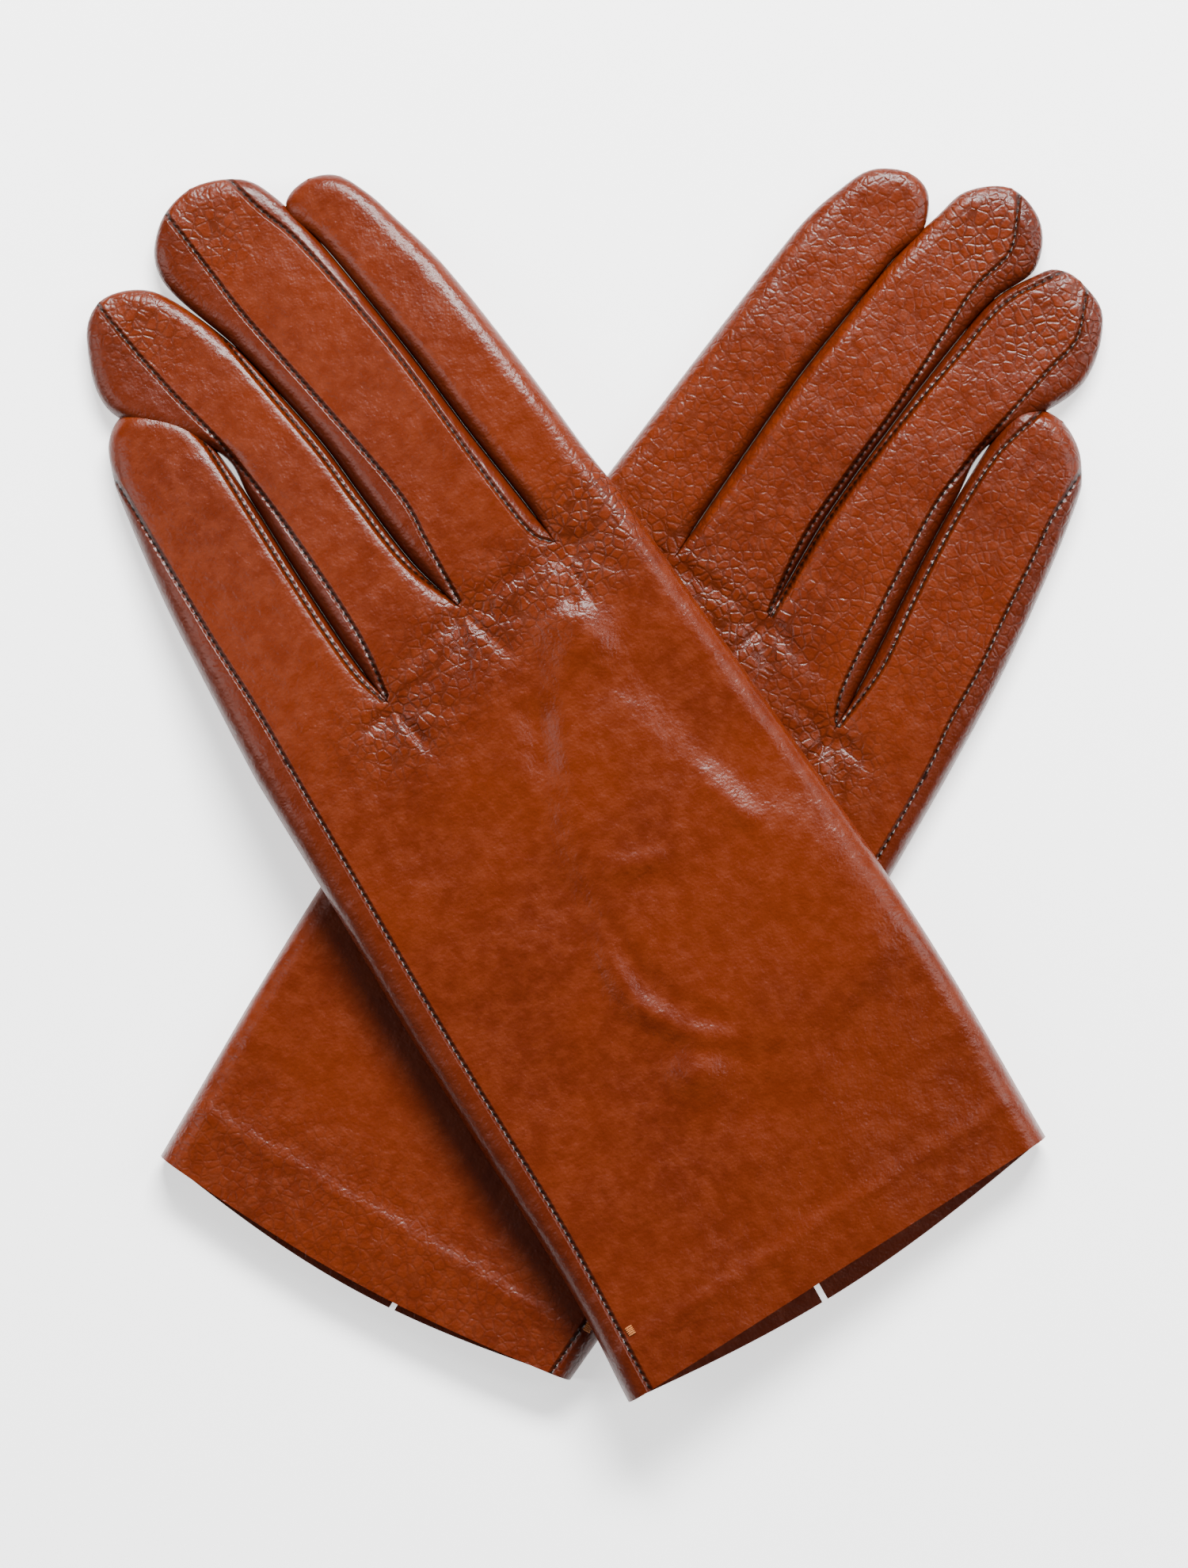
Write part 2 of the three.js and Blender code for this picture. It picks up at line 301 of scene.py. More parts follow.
# ---- the sheet of points that a glove is made of ----
def spread(count, dense_right, dense_left):
    """count + 1 fractions from 0 to 1, closer together at the ends that are asked for."""
    t = np.linspace(0, 1, count + 1)
    if dense_right and dense_left:
        return t - 0.72 / (2 * math.pi) * np.sin(2 * math.pi * t)
    if dense_right:
        return t - 0.6 / math.pi * np.sin(math.pi * t)
    if dense_left:
        return t + 0.6 / math.pi * np.sin(math.pi * t)
    return t


def finger_edges(plan, place):
    """A finger's two edges from fork to tip, as smooth curves with the same number of points."""
    tip = plan["tips"][FINGERS[place]]
    right = plan["index_outer"] if place == 0 else plan["slits"][place - 1]
    left = plan["little_outer"] if place == 3 else plan["slits"][place]
    whole = curve([*right, *tip, *left[::-1]])
    top = int(np.argmin(np.linalg.norm(whole - np.array(tip[len(tip) // 2]), axis=1)))
    halves = [whole[: top + 1], whole[top:][::-1]]
    rows = round(np.linalg.norm(np.diff(halves[0], axis=0), axis=1).sum() / ROW_LENGTH)
    edges = [gather(evenly(half, rows + 1)) for half in halves]
    rows = len(edges[0]) - 1
    for edge, slit, away in ((edges[0], place > 0, -1), (edges[1], place < 3, 1)):
        if slit:
            edge[:, 0] += away * SLIT_HALF_GAP * fade(np.arange(rows + 1), 0, 6)
    return [edge[:-TIP_DROPPED] for edge in edges]


def gather(line):
    """The same curve, with its last few points replaced by more that crowd towards the end."""
    steps = np.arange(len(line) - TIP_ROWS)
    end = np.sin(np.linspace(0, math.pi / 2, 2 * TIP_ROWS)) * TIP_ROWS + steps[-1]
    at = np.concatenate([steps[:-1], end])
    whole = np.arange(len(line))
    return np.column_stack([np.interp(at, whole, line[:, i]) for i in (0, 1)])


def hand_grid(plan, bulge):
    """The points of the hand, from the cuff to the forks. bulge is how far the cuff's middle hangs out."""
    right = smooth(plan["index_side"], round(140 / ROW_LENGTH) + 1)
    left = smooth(plan["little_side"], len(right))
    forks = [right[-1], *[np.array(s[0], float) for s in plan["slits"]], left[-1]]
    top = []
    low = []
    for place in range(4):
        a, b = forks[place], forks[place + 1]
        dense = spread(FINGER_COLUMNS, True, True)[:-1]
        top.extend(a + (b - a) * t for t in dense)
        even = spread(FINGER_COLUMNS, place == 0, place == 3)[:-1]
        low.extend((place + t) / 4 for t in even)
    top = np.array([*top, forks[-1]])
    low = np.array([*low, 1.0])
    chord = forks[-1] - forks[0]
    high = (top - forks[0]) @ chord / (chord @ chord)
    lift = top - (forks[0] + high[:, None] * chord)
    rows = []
    for k, (a, b) in enumerate(zip(right, left)):
        s = k / (len(right) - 1)
        near = fade(s, 0.55, 1)
        u = low + (high - low) * near
        row = a + u[:, None] * (b - a) + lift * near**2
        row[:, 1] -= bulge * np.sin(math.pi * u) * (1 - s) ** 8
        rows.append(row)
    return np.array(rows)


def rounded(distance, radius):
    """0 at an edge to 1 at radius from it, along a quarter circle."""
    t = np.clip(distance / radius, 0, 1)
    return np.sqrt(np.maximum(1 - (1 - t) ** 2, 0))


def grid_faces(grid, flip):
    """The four-sided faces between a grid of point numbers, in the grid's shape."""
    a, b, c, d = grid[:-1, :-1], grid[1:, :-1], grid[1:, 1:], grid[:-1, 1:]
    return np.stack((a, d, c, b) if flip else (a, b, c, d), axis=-1)


class Sheet:
    """The glove's outer surface, back and palm in one, in its flat frame."""

    def __init__(self, side):
        self.side = side
        self.plan = PLANS[side]
        self.points = []
        self.count = 0
        self.faces = []
        self.marks = []
        self.seam = []
        self.hem_grids = {}
        back = self.layer(hand_grid(self.plan, self.plan["bulge"][0]), True)
        palm = self.layer(hand_grid(self.plan, self.plan["bulge"][1]), False)
        self.join(back, palm)
        self.points = np.vstack(self.points)
        self.seam = np.vstack(self.seam)
        self.normals = vertex_normals(self.points, self.faces) * self.plan["mirror"]
        self.turned = vertex_normals(self.placed(self.points), self.faces)

    def add(self, xy, z, seam):
        """Adds a grid of points and returns their numbers, in the grid's shape."""
        numbers = self.count + np.arange(xy.shape[0] * xy.shape[1]).reshape(xy.shape[:2])
        self.points.append(np.column_stack([xy.reshape(-1, 2), z.reshape(-1)]))
        self.seam.append(seam.reshape(-1, 2))
        self.count += numbers.size
        return numbers

    def layer(self, hand, is_back):
        """The back or the palm: the numbers of the hand's points, and of each finger's."""
        flat = hand.reshape(-1, 2)
        sides = [smooth(self.plan[name], 60) for name in ("index_side", "little_side")]
        shape = np.minimum(*[self.edge(flat, line, "outer", "outer", 1.0, is_back) for line in sides])
        z = self.height(flat, shape, is_back)
        seam = self.seam_at(flat, "hand")
        numbers = self.add(hand, z, seam)
        fingers = []
        for place, finger in enumerate(FINGERS):
            right, left = finger_edges(self.plan, place)
            across = spread(FINGER_COLUMNS, True, True)[None, :, None]
            grid = (right[:, None] + (left - right)[:, None] * across)[1:]
            flat = grid.reshape(-1, 2)
            run = np.repeat(np.arange(1, len(right)) * ROW_LENGTH, FINGER_COLUMNS + 1)
            close = fade(run, 0, FORK_CLOSE)
            kinds = ("outer" if place == 0 else "slit", "outer" if place == 3 else "slit")
            shape = np.minimum(*[
                self.edge(flat, line, kind, "tip", 1.0 if kind == "outer" else close, is_back)
                for line, kind in zip((right, left), kinds)
            ])
            z = self.height(flat, shape, is_back)
            own = self.add(grid, z, self.seam_at(flat, finger))
            base = numbers[-1, place * FINGER_COLUMNS : (place + 1) * FINGER_COLUMNS + 1]
            fingers.append(np.vstack([base, own]))
        return numbers, fingers

    def edge(self, flat, line, kind, far_kind, close, is_back):
        """How far the surface has come up beside an edge, 0 at the fold to 1 where it is flat."""
        away, along, _ = distance_to(line, flat)
        if is_back:
            radius = ROLL[kind] + (ROLL[far_kind] - ROLL[kind]) * fade(along, 0.6, 0.95)
        else:
            radius = PALM_ROLL
        return 1 - close * (1 - rounded(away, radius))

    def height(self, flat, shape, is_back):
        x, y = flat.T
        lift = thumb_lift(x, y)
        edge = EDGE_HEIGHT + 0.35 * lift
        if not is_back:
            return lift + (edge - FOLD - lift) * (1 - shape)
        top = BODY_HEIGHT - TIP_SLIMMER * fade(y, 95, 148) + 0.8 * (1 - fade(y, CUFF_Y, -60))
        top = top + relief(self.side, x, y)
        return edge + FOLD + (top - edge - FOLD) * shape

    def seam_at(self, flat, part):
        """Signed distance in mm to the nearest seam, positive on the panel's side, and the run along it."""
        found = np.full(len(flat), 1e6)
        run = np.zeros(len(flat))
        for points in self.plan["seams"].get(part, []):
            line = smooth(points, 80)
            centre = np.zeros(2)
            if part in FINGERS:
                base, tip = (np.array(p, float) for p in FINGER_AXES[self.side][part])
                centre = base + (tip - base) * (line[40][1] - base[1]) / (tip[1] - base[1])
            toward = distance_to(line, centre[None])[2][0]
            away, along, side = distance_to(line, flat, endless=True)
            nearer = away < np.abs(found)
            found[nearer] = (away * side * toward)[nearer]
            length = np.linalg.norm(np.diff(line, axis=0), axis=1).sum()
            run[nearer] = (along * length)[nearer]
        return np.column_stack([np.clip(found, -SEAM_REACH, SEAM_REACH), run])

    def quads(self, grid, flip, mark):
        """The faces of a grid of point numbers, marked with the piece that they belong to."""
        faces = grid_faces(grid, flip).reshape(-1, 4)
        self.faces.extend(faces)
        self.marks.extend([mark] * len(faces))

    def walls(self, top, low, flip, mark):
        """The narrow folds that join the back's side edges to the palm's."""
        self.quads(np.column_stack([low[:, 0], top[:, 0]]), flip, mark)
        self.quads(np.column_stack([top[:, -1], low[:, -1]]), flip, mark)

    def join(self, back, palm):
        """Fills the faces of the back, the palm and the folds between them."""
        (back_hand, back_fingers), (palm_hand, palm_fingers) = back, palm
        mirrored = self.plan["mirror"] < 0
        cut = round(CUT_ALONG / ROW_LENGTH)
        vent = int(np.argmin(np.abs(self.flat(palm_hand[0])[:, 0] - VENT["x"])))
        vent_rows = round(VENT["length"] / ROW_LENGTH)
        self.quads(back_hand, mirrored, "hand")
        self.quads(palm_hand[:, : vent + 1], not mirrored, "hand")
        self.quads(palm_hand[vent_rows:, vent : vent + 2], not mirrored, "hand")
        self.quads(palm_hand[:, vent + 1 :], not mirrored, "hand")
        self.walls(back_hand, palm_hand, mirrored, "hand")
        for finger, top, low in zip(FINGERS, back_fingers, palm_fingers):
            for rows, mark in ((slice(None, cut + 1), "hand"), (slice(cut, None), finger)):
                self.quads(top[rows], mirrored, mark)
                self.quads(low[rows], not mirrored, mark)
                self.walls(top[rows], low[rows], mirrored, mark)
            self.quads(np.column_stack([low[-1], top[-1]]), mirrored, finger)
        rows = round(HEM["width"] / ROW_LENGTH) + 1
        self.hem_grids = {
            "back_hem": (back_hand[:rows, 3:-3], mirrored),
            "palm_hem_index": (palm_hand[:rows, 3 : vent + 1], not mirrored),
            "palm_hem_little": (palm_hand[:rows, vent + 1 : -3], not mirrored),
        }

    def flat(self, numbers):
        return np.vstack(self.points)[numbers]

    def placed(self, points):
        """Flat-frame points in millimetres as row-frame points in metres."""
        x, y, z = points.T
        if self.plan["draped"]:
            z = z + drape_lift(x, y)
        turn = math.radians(self.plan["turn"])
        x = x * self.plan["mirror"]
        across = x * math.cos(turn) - y * math.sin(turn)
        up = x * math.sin(turn) + y * math.cos(turn)
        return np.column_stack([across + CROSSING[0], up + CROSSING[1], z]) * MM


def vertex_normals(points, faces):
    quads = np.array(faces)
    a, b, c, d = (points[quads[:, i]] for i in range(4))
    across = np.cross(c - a, d - b)
    normals = np.zeros_like(points)
    for i in range(4):
        np.add.at(normals, quads[:, i], across)
    return normals / np.maximum(np.linalg.norm(normals, axis=1), 1e-9)[:, None]


# ---- relief on the back ----
def inside(polygon, x, y):
    """Signed distance to a closed polygon, positive inside."""
    line = smooth([*polygon, polygon[0]], 80)
    away, _, _ = distance_to(line, np.column_stack([x, y]))
    hit = np.zeros(len(x), bool)
    for (x1, y1), (x2, y2) in zip(line, line[1:]):
        crosses = (y1 > y) != (y2 > y)
        with np.errstate(divide="ignore", invalid="ignore"):
            at = (x2 - x1) * (y - y1) / (y2 - y1) + x1
        hit ^= crosses & (x < at)
    return np.where(hit, away, -away)


def crease(x, y, start, end, depth, width):
    """A valley along a straight line that fades out at its ends."""
    a = np.array(start, float)
    run = np.array(end, float) - a
    length = np.hypot(*run)
    t = ((x - a[0]) * run[0] + (y - a[1]) * run[1]) / length**2
    off = ((x - a[0]) * run[1] - (y - a[1]) * run[0]) / length
    taper = fade(t, -0.15, 0.25) * (1 - fade(t, 0.6, 1.15))
    return -depth * np.exp(-((off / width) ** 2)) * taper


def bump(x, y, centre, sizes, height):
    return height * np.exp(-(((x - centre[0]) / sizes[0]) ** 2) - ((y - centre[1]) / sizes[1]) ** 2)


def ridge(x, y, points, width, height):
    away, along, _ = distance_to(smooth(points, 24), np.column_stack([x, y]))
    taper = fade(along, 0, 0.3) * (1 - fade(along, 0.7, 1))
    return height * np.exp(-((away / width) ** 2)) * (0.15 + 0.85 * taper)


def relief(side, x, y):
    """Everything that stands out of the back or sinks into it: the thumb's print, folds and puckers."""
    plan = PLANS[side]
    z = 0.25 * np.sin(x / 9.1 + 1.3 * np.sin(y / 23)) * np.sin(y / 14.7 + x / 31)
    z = z + 0.12 * np.sin(x / 4.3 + y / 6.1) * np.sin(y / 5.2 - x / 7.9)
    if side == "left":
        z = z + 0.8 * fade(inside(THUMB_PRINT, x, y), -3.5, 4.5)
        for points, width, height in THUMB_FOLDS:
            z = z + ridge(x, y, points, width, height)
        for centre, sizes, height in THUMB_BUMPS:
            z = z + bump(x, y, centre, sizes, height)
    for n, slit in enumerate(plan["slits"]):
        fork = np.array(slit[0])
        for k in range(9):
            angle = math.radians(-90 + (k - 4) * 21 + 8 * math.sin(3.1 * k + n))
            reach = 10 + 6 * math.sin(2.3 * k + 1.7 * n)
            way = np.array([math.cos(angle), math.sin(angle)])
            z = z + crease(x, y, fork + way * 1.5, fork + way * (1.5 + reach), 0.55, 0.8)
        z = z + bump(x, y, fork + (0, 1), (3.5, 5), -0.7)
    for n, finger in enumerate(("middle", "ring")):
        tip = np.array(FINGER_AXES[side][finger][1])
        for k in range(6):
            angle = math.radians(-150 + 26 * k + 9 * math.sin(5 * k + n))
            way = np.array([math.cos(angle), math.sin(angle)])
            z = z + crease(x, y, tip + way, tip + way * (8 + 3 * math.sin(4 * k)), 0.35, 0.8)
    hem = CUFF_Y + HEM["width"]
    return z + 0.3 * np.exp(-(((y - hem) / 0.9) ** 2)) - 0.2 * fade(y, hem, hem + 3)


def worn_at(side, points):
    """Where the leather is crazed and creased, from 0 to 1."""
    x, y, _ = points.T
    worn = 0.03 + np.zeros(len(points))
    for slit in PLANS[side]["slits"]:
        worn = worn + np.exp(-(((x - slit[0][0]) / 12) ** 2) - ((y - slit[0][1] + 4) / 9) ** 2)
    for finger in ("middle", "ring"):
        tip = FINGER_AXES[side][finger][1]
        worn = worn + 0.8 * np.exp(-(((x - tip[0]) / 9) ** 2) - ((y - tip[1] + 8) / 9) ** 2)
    if side == "left":
        worn = worn + np.exp(-(((x - 38) / 9) ** 2) - ((y - 62) / 9) ** 2)
    else:
        worn = worn + 0.5 * fade(y, 50, 70) + 0.4 * (1 - fade(y, -80, -55))
    return np.clip(worn, 0, 1)


# ---- pieces ----
def finish_piece(name, mesh, attributes, material):
    """The object for a mesh, with what its material needs to know about each point."""
    for key, values in attributes.items():
        kind, field = ("FLOAT_VECTOR", "vector") if values.ndim == 2 else ("FLOAT", "value")
        attribute = mesh.attributes.new(key, kind, "POINT")
        attribute.data.foreach_set(field, values.ravel().astype(np.float32))
    mesh.materials.append(material)
    piece = bpy.data.objects.new(name, mesh)
    bpy.context.scene.collection.objects.link(piece)
    return piece


def make_piece(name, points, faces, normals, attributes, material):
    """A mesh object with its own normals, so that pieces which meet look like one surface."""
    mesh = bpy.data.meshes.new(name)
    mesh.from_pydata(points.tolist(), [], [list(map(int, f)) for f in faces])
    mesh.update()
    mesh.polygons.foreach_set("use_smooth", [True] * len(mesh.polygons))
    mesh.normals_split_custom_set(normals)
    return finish_piece(name, mesh, attributes, material)


def shell(name, sheet, faces, material, outset=0.0, thickness=LEATHER):
    """A closed skin of leather over some of a sheet's faces, from outset inside the sheet inwards."""
    faces = np.array(faces)
    used, faces = np.unique(faces, return_inverse=True)
    faces = faces.reshape(-1, 4)
    count = len(used)
    normals = sheet.normals[used]
    outer = sheet.points[used] - normals * outset
    ends = [np.hypot(*(outer[:, :2] - tip[2]).T) for tip in sheet.plan["tips"].values()]
    thin = np.clip(np.min(ends, axis=0) / TIP_THINNING, 0.2, 1)[:, None]
    inner = outer - normals * thickness * thin
    edges = {}
    for f in faces:
        for a, b in zip(f, np.roll(f, -1)):
            edges[(a, b)] = True
    rims = [(b, a, a + count, b + count) for a, b in edges if (b, a) not in edges]
    points = sheet.placed(np.vstack([outer, inner]))
    every = [*faces, *[f[::-1] + count for f in faces], *rims]
    turned = sheet.turned[used]
    loops = [turned[i] for f in faces for i in f]
    loops += [-turned[i] for f in faces for i in f[::-1]]
    for rim in rims:
        a, b, c, d = (points[i] for i in rim)
        normal = np.cross(c - a, d - b)
        normal = normal / max(np.linalg.norm(normal), 1e-12)
        loops.extend([normal] * 4)
    rest = np.vstack([outer, inner])
    attributes = {
        "rest": rest,
        "seam": np.tile(sheet.seam[used, 0], 2),
        "along": np.tile(sheet.seam[used, 1], 2),
        "worn": worn_at(sheet.side, rest),
    }
    return make_piece(name, points, every, [tuple(n) for n in loops], attributes, material)


def hinge(sheet, finger):
    """Where a finger starts to bend and where the bend ends, in the row frame."""
    base, tip = (np.array(p, float) for p in FINGER_AXES[sheet.side][finger])
    way = (tip - base) / np.linalg.norm(tip - base)
    ends = [base + way * HINGE_ALONG, base + way * (HINGE_ALONG + BEND_LENGTH)]
    return [tuple(sheet.placed(np.array([[*p, HINGE_HEIGHT]]))[0]) for p in ends]


def make_glove(side, leather, thread):
    sheet = Sheet(side)
    faces = np.array(sheet.faces)
    marks = np.array(sheet.marks)
    hand = shell(f"{side}_glove_hand", sheet, faces[marks == "hand"], leather)
    own(hand, side, f"{side}_hand", HAND_NODES, "back_leather")
    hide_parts(*[f"{side}_{node}" for node in FORK_NODES])
    for finger in FINGERS:
        piece = shell(f"{side}_glove_{finger}", sheet, faces[marks == finger], leather)
        start, end = hinge(sheet, finger)
        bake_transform(piece)
        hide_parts(*[f"{side}_{finger}_finger_{part}" for part in FINGER_NODES[finger]])
    for name, (grid, flip) in sheet.hem_grids.items():
        strip = grid_faces(grid, False).reshape(-1, 4)
        if flip:
            strip = strip[:, ::-1]
        inset = LEATHER + HEM["inset"]
        piece = shell(f"{side}_glove_{name}", sheet, strip, leather, inset, HEM["thickness"])
        own(piece, side, f"{side}_hand", [name], "turned_in_leather")
    thumb = make_thumb(side, sheet, leather)
    own(thumb, side, f"{side}_thumb", ["thumb_outside", "thumb_inside"], "palm_leather")
    tack = make_tack(side, sheet, thread)
    own(tack, side, f"{side}_hand", ["bar_tack"], "tack_thread")


def own(piece, side, body, nodes, slot):
    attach(piece, body)
    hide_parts(*[f"{side}_{node}" for node in nodes])


def simple_piece(name, sheet, points, faces, material):
    """A closed piece in the glove's flat frame, with its faces wound as the right glove needs them."""
    if sheet.plan["mirror"] > 0:
        faces = [f[::-1] for f in faces]
    placed = sheet.placed(points)
    mesh = bpy.data.meshes.new(name)
    mesh.from_pydata(placed.tolist(), [], [list(map(int, f)) for f in faces])
    mesh.polygons.foreach_set("use_smooth", [True] * len(mesh.polygons))
    none = np.zeros(len(points))
    attributes = {"rest": points, "seam": none + SEAM_REACH, "along": none}
    return finish_piece(name, mesh, attributes, material)


def make_thumb(side, sheet, leather):
    """The thumb, pressed flat under the palm: rings from its root to its round tip."""
    root, tip = (np.array(p, float) for p in (THUMB["root"], THUMB["tip"]))
    length = np.linalg.norm(tip - root)
    way = (tip - root) / length
    off = np.array([way[1], -way[0]])
    around = np.linspace(0, 2 * math.pi, THUMB["sides"], endpoint=False)
    points = []
    for k in range(THUMB["rings"] + 1):
        t = 0.5 - 0.5 * math.cos(math.pi * k / THUMB["rings"])
        width = THUMB["widths"][0] + (THUMB["widths"][1] - THUMB["widths"][0]) * fade(t, 0, 0.9)
        end = min(t * length / THUMB["root_round"], (1 - t) * length / THUMB["tip_round"], 1)
        half = width / 2 * math.sqrt(max(1 - (1 - end) ** 2, 0.0004))
        for a in around:
            c, s = math.cos(a), math.sin(a)
            across = half * math.copysign(abs(c) ** THUMB["roundness"], c)
            up = THUMB["thickness"] / 2 * (1 + math.copysign(abs(s) ** THUMB["roundness"], s) * 0.94)
            points.append([*(root + way * t * length + off * across), up])
    rings = np.arange(len(points)).reshape(-1, THUMB["sides"])
    rings = np.column_stack([rings, rings[:, 0]])
    faces = grid_faces(rings, True).reshape(-1, 4).tolist()
    faces.extend([rings[0, :-1].tolist()[::-1], rings[-1, :-1].tolist()])
    return simple_piece(f"{side}_glove_thumb", sheet, np.array(points), faces, leather)


def make_tack(side, sheet, thread):
    """A small bar of close stitches at the seam's end by the cuff."""
    around = np.linspace(0, 2 * math.pi, TACK["sides"], endpoint=False)
    points = []
    faces = []
    for n in range(TACK["threads"]):
        y = TACK["at"][1] + (n - (TACK["threads"] - 1) / 2) * TACK["pitch"]
        first = len(points)
        for t in np.linspace(-1, 1, TACK["rings"]):
            x = TACK["at"][0] + TACK["reach"] * t
            radius = TACK["radius"] * math.sqrt(max(1 - t**4, 0.02))
            z = surface_height(sheet, np.array([x, y])) + TACK["radius"] / 2
            points.extend([x, y + radius * math.cos(a), z + radius * math.sin(a)] for a in around)
        rings = first + np.arange(TACK["rings"] * TACK["sides"]).reshape(TACK["rings"], -1)
        rings = np.column_stack([rings, rings[:, 0]])
        faces.extend(grid_faces(rings, False).reshape(-1, 4).tolist())
        faces.extend([rings[0, :-1].tolist(), rings[-1, :-1].tolist()[::-1]])
    return simple_piece(f"{side}_glove_bar_tack", sheet, np.array(points), faces, thread)


def surface_height(sheet, at):
    """The height of the back's leather near a point."""
    away = np.hypot(*(sheet.points[:, :2] - at).T)
    away[sheet.points[:, 2] < EDGE_HEIGHT + FOLD - 0.01] = 1e9
    return sheet.points[np.argmin(away), 2]


# ---- materials ----
class Nodes:
    """Short names for making and linking a material's nodes."""

    def __init__(self, name):
        self.material = bpy.data.materials.new(name)
        self.material.use_nodes = True
        self.tree = self.material.node_tree
        self.shader = self.tree.nodes["Principled BSDF"]

    def add(self, kind, inputs=(), **settings):
        node = self.tree.nodes.new(kind)
        for key, value in settings.items():
            setattr(node, key, value)
        for key, value in dict(inputs).items():
            self.put(node.inputs[key], value)
        return node

    def put(self, socket, value):
        if isinstance(value, bpy.types.NodeSocket):
            self.tree.links.new(value, socket)
        else:
            socket.default_value = value

    def math(self, operation, *values):
        node = self.add("ShaderNodeMath", operation=operation)
        for socket, value in zip(node.inputs, values):
            self.put(socket, value)
        return node.outputs[0]

    def ramp(self, value, low, high, start=0.0, end=1.0):
        """value from low to high, smoothly mapped to start to end."""
        inputs = {"Value": value, "From Min": low, "From Max": high, "To Min": start, "To Max": end}
        node = self.add("ShaderNodeMapRange", inputs, interpolation_type="SMOOTHSTEP")
        return node.outputs["Result"]

    def mix(self, factor, a, b):
        node = self.add("ShaderNodeMix", data_type="RGBA")
        self.put(node.inputs["Factor"], factor)
        self.put(node.inputs[6], a)
        self.put(node.inputs[7], b)
        return node.outputs[2]

    def cells(self, where, scale, feature):
        inputs = {"Vector": where, "Scale": scale}
        return self.add("ShaderNodeTexVoronoi", inputs, feature=feature).outputs["Distance"]

    def known(self, name, kind="Fac"):
        """What a piece says about each of its points."""
        return self.add("ShaderNodeAttribute", attribute_name=name).outputs[kind]

    def noise(self, where, scale, detail=3.0, rough=0.5):
        inputs = {"Vector": where, "Scale": scale, "Detail": detail, "Roughness": rough}
        return self.add("ShaderNodeTexNoise", inputs).outputs["Fac"]


def linear(r, g, b):
    """A colour given as 0 to 255 in sRGB, as the shader takes it."""
    shares = [c / 255 for c in (r, g, b)]
    return (*[c / 12.92 if c < 0.04 else ((c + 0.055) / 1.055) ** 2.4 for c in shares], 1.0)


def leather_material():
    m = Nodes("glove_leather")
    rest = m.known("rest", "Vector")
    seam = m.known("seam")
    along = m.known("along")
    patches = m.noise(rest, 0.045, 3.0)
    mottle = m.noise(rest, 0.35, 4.0, 0.6)
    tone = m.mix(m.ramp(patches, 0.3, 0.7), linear(*COLOURS["dark"]), linear(*COLOURS["body"]))
    tone = m.mix(m.ramp(mottle, 0.35, 0.7, 0.0, 0.5), tone, linear(*COLOURS["light"]))
    # Painted shade: on the strip side of each seam, where the fourchette turns down between the fingers,
    # the leather is painted darker towards the strip colour.
    strip = m.ramp(seam, -0.5, 0.1, 0.55, 0.0)
    tone = m.mix(strip, tone, linear(*COLOURS["strip"]))

    bend = m.add("ShaderNodeVectorMath", operation="ADD")
    m.put(bend.inputs[0], rest)
    m.put(bend.inputs[1], m.add("ShaderNodeTexNoise", {"Vector": rest, "Scale": 0.3}).outputs["Color"])
    lines = m.ramp(m.cells(bend.outputs[0], 0.55, "DISTANCE_TO_EDGE"), 0.0, 0.2)
    worn = m.known("worn")
    lines = m.math("MULTIPLY", m.math("SUBTRACT", 1.0, lines), worn)
    tone = m.mix(m.math("MULTIPLY", lines, 0.45), tone, linear(*COLOURS["deep"]))

    phase = m.math("FRACT", m.math("DIVIDE", along, STITCH["pitch"]))
    reach = m.math("ABSOLUTE", m.math("SUBTRACT", phase, 0.5))
    share = m.math("MULTIPLY", reach, STITCH["pitch"] * 2 / STITCH["length"])
    lens = m.math("SUBTRACT", 1.0, m.math("POWER", share, 2.0))
    half = m.math("MULTIPLY", lens, STITCH["width"])
    away = m.math("ABSOLUTE", seam)
    stitch = m.ramp(m.math("SUBTRACT", half, away), -0.05, 0.05)
    # Painted shade: the leather in each seam's groove is painted darker towards the deep colour. The same
    # groove is also pressed in by the bump further down.
    groove = m.ramp(away, 0.0, 0.75, 1.0, 0.0)
    tone = m.mix(m.math("MULTIPLY", groove, 0.55), tone, linear(*COLOURS["deep"]))
    tone = m.mix(stitch, tone, linear(*COLOURS["stitch"]))
    m.put(m.shader.inputs["Base Color"], tone)

    height = m.math("MULTIPLY", m.cells(rest, 1.9, "SMOOTH_F1"), 0.045)
    height = m.math("ADD", height, m.math("MULTIPLY", m.noise(rest, 5.0, 2.0), 0.02))
    height = m.math("ADD", height, m.math("MULTIPLY", m.noise(rest, 0.28, 3.0, 0.55), 0.3))
    height = m.math("SUBTRACT", height, m.math("MULTIPLY", lines, 0.08))
    scallop = m.math("ADD", m.math("MULTIPLY", reach, 0.5), 0.35)
    height = m.math("SUBTRACT", height, m.math("MULTIPLY", groove, scallop))
    bumps = m.add("ShaderNodeBump", {"Height": height, "Strength": 1.0, "Distance": 0.001})
    m.put(m.shader.inputs["Normal"], bumps.outputs["Normal"])
    m.put(m.shader.inputs["Roughness"], m.ramp(mottle, 0.3, 0.7, 0.28, 0.38))
    m.shader.inputs["Specular IOR Level"].default_value = 0.21
    return m.material


def thread_material():
    m = Nodes("tack_thread")
    rest = m.known("rest", "Vector")
    wave = m.add("ShaderNodeTexWave", {"Vector": rest, "Scale": 1.2, "Distortion": 1.0}).outputs["Fac"]
    tone = m.mix(wave, linear(*COLOURS["thread_dark"]), linear(*COLOURS["thread_light"]))
    m.put(m.shader.inputs["Base Color"], tone)
    bumps = m.add("ShaderNodeBump", {"Height": wave, "Strength": 0.5, "Distance": 0.0001})
    m.put(m.shader.inputs["Normal"], bumps.outputs["Normal"])
    m.shader.inputs["Roughness"].default_value = 0.7
    return m.material


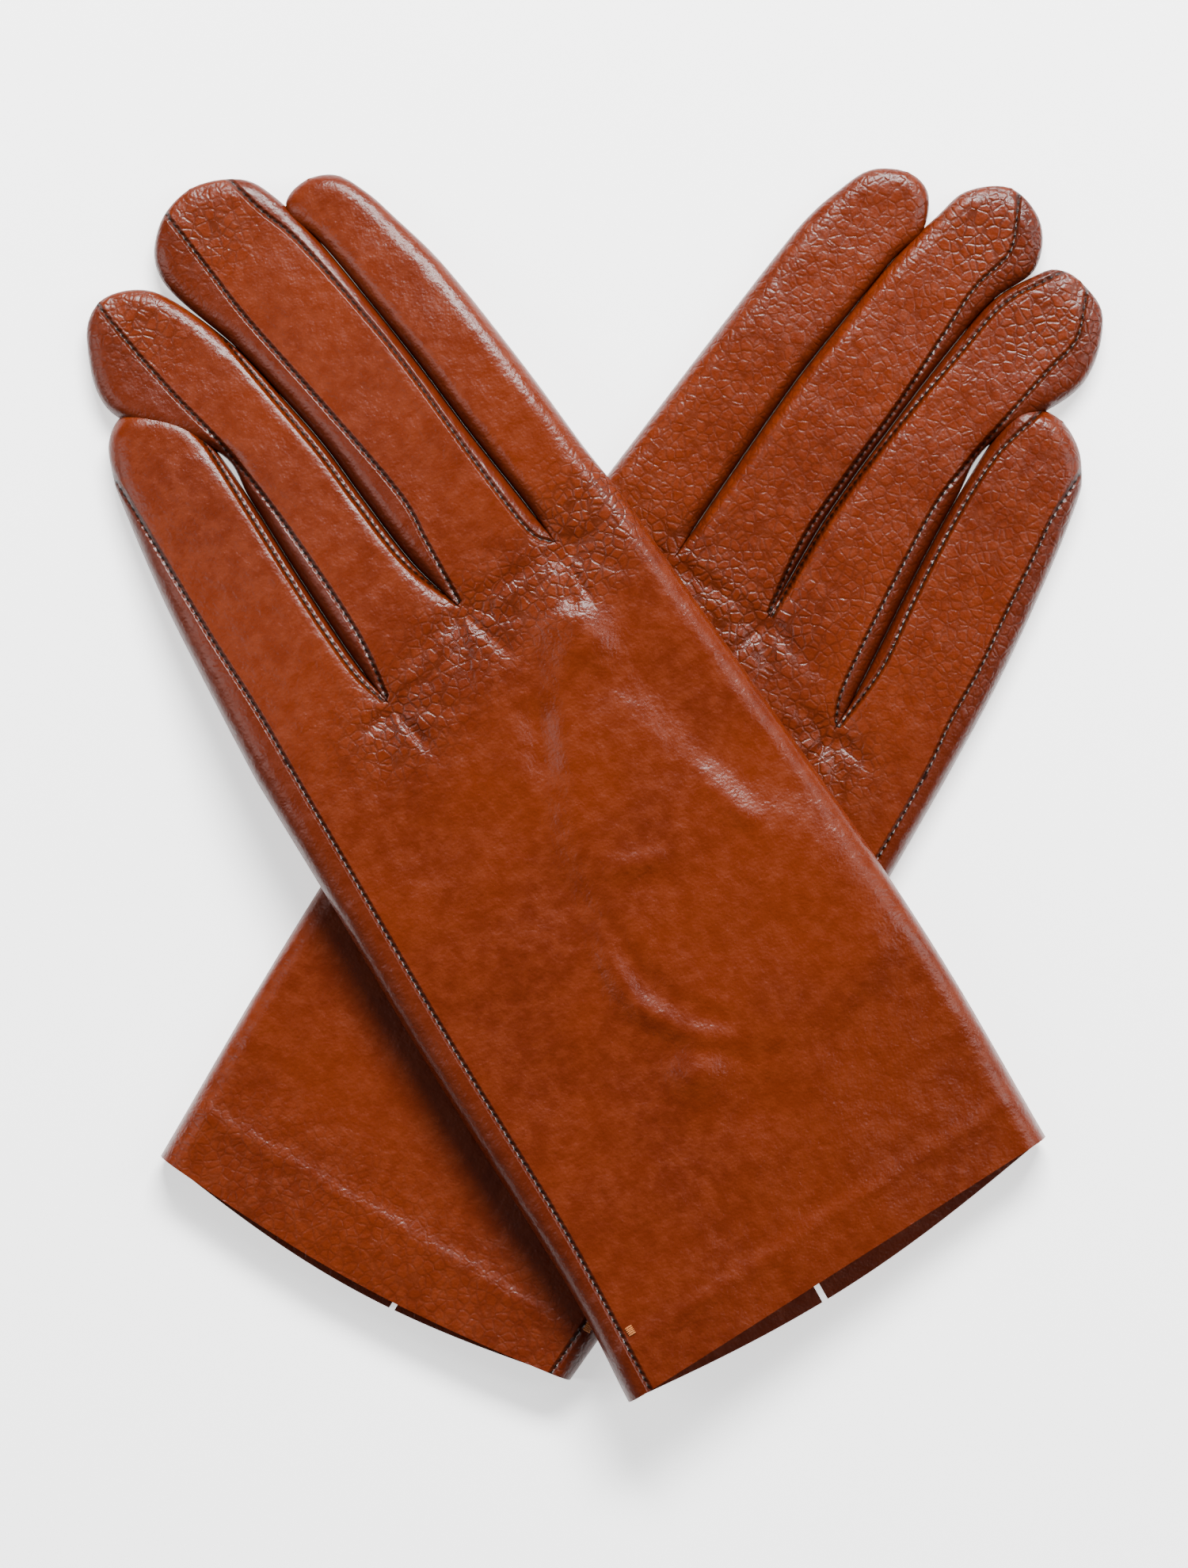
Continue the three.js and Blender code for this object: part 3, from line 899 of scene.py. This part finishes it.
def floor_material():
    m = Nodes("floor")
    where = m.add("ShaderNodeTexCoord").outputs["Object"]
    tone = m.mix(m.noise(where, 400.0), (0.93, 0.93, 0.93, 1), (0.97, 0.97, 0.97, 1))
    m.put(m.shader.inputs["Base Color"], tone)
    m.shader.inputs["Roughness"].default_value = 0.9
    m.shader.inputs["Emission Color"].default_value = (1, 1, 1, 1)
    m.shader.inputs["Emission Strength"].default_value = 0.95
    return m.material


# ---- the setting ----
def make_floor():
    mesh = bpy.data.meshes.new("floor")
    corners = [(-1, -1), (1, -1), (1, 1), (-1, 1)]
    mesh.from_pydata([(FLOOR_HALF * x, FLOOR_HALF * y, -0.0002) for x, y in corners], [], [(0, 1, 2, 3)])
    mesh.materials.append(floor_material())
    floor = bpy.data.objects.new("floor", mesh)
    bpy.context.scene.collection.objects.link(floor)


def make_light(name, place, target, size, power):
    light = bpy.data.lights.new(name, "AREA")
    light.shape = "RECTANGLE"
    light.size, light.size_y = size
    light.energy = power
    lamp = bpy.data.objects.new(name, light)
    lamp.location = place
    way = Vector(target) - Vector(place)
    lamp.rotation_euler = way.to_track_quat("-Z", "Y").to_euler()
    bpy.context.scene.collection.objects.link(lamp)


def make_setting():
    world = bpy.data.worlds.new("studio")
    world.use_nodes = True
    background = world.node_tree.nodes["Background"]
    background.inputs["Color"].default_value = (1, 1, 1, 1)
    background.inputs["Strength"].default_value = 0.28
    bpy.context.scene.world = world
    make_light("key", (0.15, 0.95, 0.85), (0, 0, 0), (0.8, 0.3), 72)
    make_light("left", (-1.1, 0.0, 0.9), (0, 0, 0), (0.4, 1.0), 9)
    make_light("right", (1.1, 0.2, 0.9), (0, 0, 0), (0.4, 1.0), 14)
    camera = bpy.data.cameras.new("camera")
    camera.type = "PERSP"
    camera.sensor_width = 36
    camera.lens = 36 * CAMERA_HEIGHT / VIEW_LENGTH
    camera.dof.use_dof = False
    eye = bpy.data.objects.new("camera", camera)
    eye.location = (-0.00023, 0.00026, CAMERA_HEIGHT + 0.008)
    bpy.context.scene.collection.objects.link(eye)
    bpy.context.scene.camera = eye


make_setting()
make_floor()
leather = leather_material()
thread = thread_material()
for glove in ("right", "left"):
    make_glove(glove, leather, thread)
